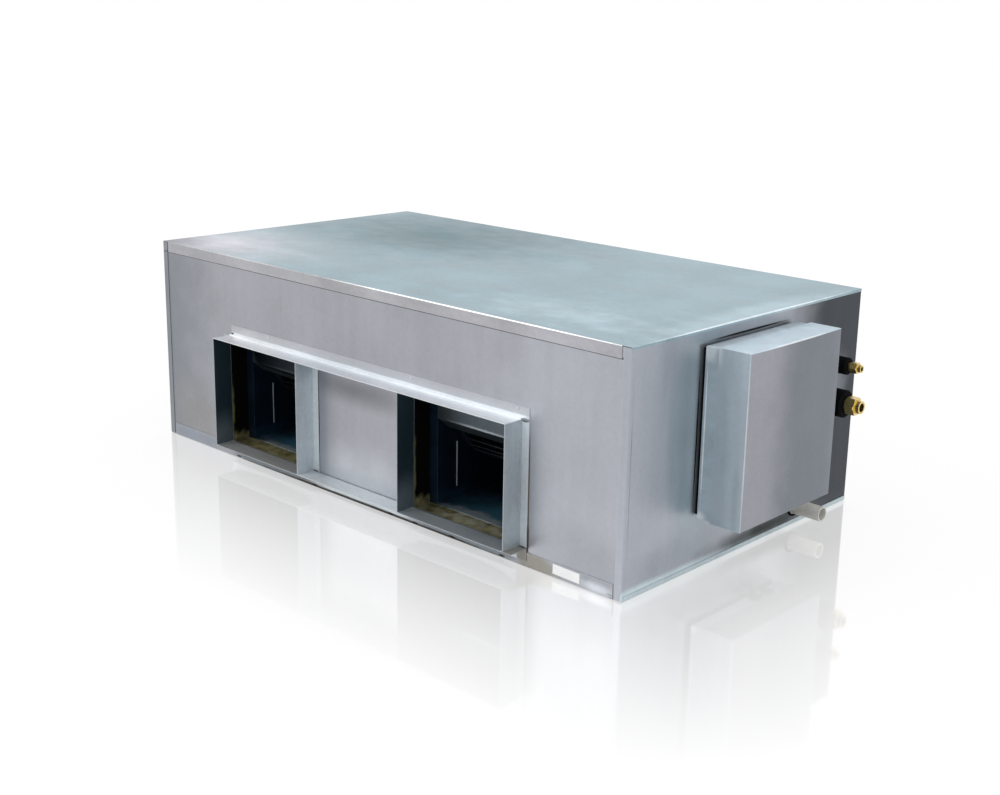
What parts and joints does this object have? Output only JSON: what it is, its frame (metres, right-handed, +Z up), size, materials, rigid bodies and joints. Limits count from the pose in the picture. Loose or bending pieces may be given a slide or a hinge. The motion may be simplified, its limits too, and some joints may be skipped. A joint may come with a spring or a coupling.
{
  "type": "ducted air conditioner indoor unit",
  "caption": "Low rectangular sheet-metal fan-coil casing with paired blower outlets on a duct collar in front, a flanged return opening behind, and pipe stubs and an electrical box on one side.",
  "frame": {"origin": "middle of the casing's underside, leaving the collars, pipes and electrical box out", "axes": "+X to the side with the pipes and electrical box, -Y out of the blower outlets, +Z up"},
  "size_m": [1.548, 0.8638, 0.48],
  "materials": {
    "galvanised_sheet": "satin, with a faint spangle",
    "machined_steel": "fine turned",
    "motor_paint": "satin black enamel",
    "aluminium_fins": "bare, finely finned",
    "copper": "drawn, slightly dulled",
    "brass": "machined",
    "black_rubber": "matt",
    "pale_plastic": "moulded",
    "yellow_foam": "open foam",
    "grey_foam": "closed-cell foam",
    "circuit_board": "lacquered",
    "capacitor_can": "smooth"
  },
  "bodies": {
    "casing": {"base_insulation": "grey_foam", "base_panel": "galvanised_sheet", "blower_inlet_rings": "galvanised_sheet", "blower_rails": "galvanised_sheet", "cable_grommets": "black_rubber", "coil_top_baffle": "galvanised_sheet", "collar_bottom_angle": "galvanised_sheet", "collar_side_angles": "galvanised_sheet", "collar_top_angle": "galvanised_sheet", "control_board": "circuit_board", "drain_pan": "galvanised_sheet", "drain_seal": "black_rubber", "drain_stub": "pale_plastic", "electrical_box_cover": "galvanised_sheet", "electrical_box_gasket": "black_rubber", "electrical_box_seal": "black_rubber", "electrical_box_tray": "galvanised_sheet", "evaporator_end_plates": "galvanised_sheet", "evaporator_fins": "aluminium_fins", "fan_capacitor": "capacitor_can", "front_insulation": "grey_foam", "front_panel": "galvanised_sheet", "gas_flare_nut": "brass", "gas_pipe": "copper", "gas_pipe_collar": "black_rubber", "gas_union": "brass", "left_blower_cutoff": "galvanised_sheet", "left_blower_housing": "galvanised_sheet", "left_side_panel": "galvanised_sheet", "liquid_distributor": "copper", "liquid_flare_nut": "brass", "liquid_pipe": "copper", "liquid_pipe_collar": "black_rubber", "liquid_union": "brass", "motor_bearings": "machined_steel", "motor_body": "motor_paint", "motor_cradle": "galvanised_sheet", "motor_end_shields": "motor_paint", "motor_pedestal": "galvanised_sheet", "motor_rubber_rings": "black_rubber", "motor_straps": "galvanised_sheet", "outlet_gaskets": "yellow_foam", "rear_panel": "galvanised_sheet", "return_bends": "copper", "return_flange": "galvanised_sheet", "right_blower_cutoff": "galvanised_sheet", "right_blower_housing": "galvanised_sheet", "right_side_panel": "galvanised_sheet", "side_insulation": "grey_foam", "suction_header": "copper", "terminal_block": "pale_plastic", "top_cover": "galvanised_sheet", "top_insulation": "grey_foam"},
    "rotor": {"motor_shaft": "machined_steel", "blower_wheel_blades": "galvanised_sheet", "blower_wheel_rings": "galvanised_sheet", "blower_wheel_hubs": "galvanised_sheet"}
  },
  "joints": [
    {"name": "fan_spin", "type": "hinge", "parent": "casing", "child": "rotor", "pos_m": [0, -0.183, 0.237], "axis": [1, 0, 0], "continuous": true}
  ]
}
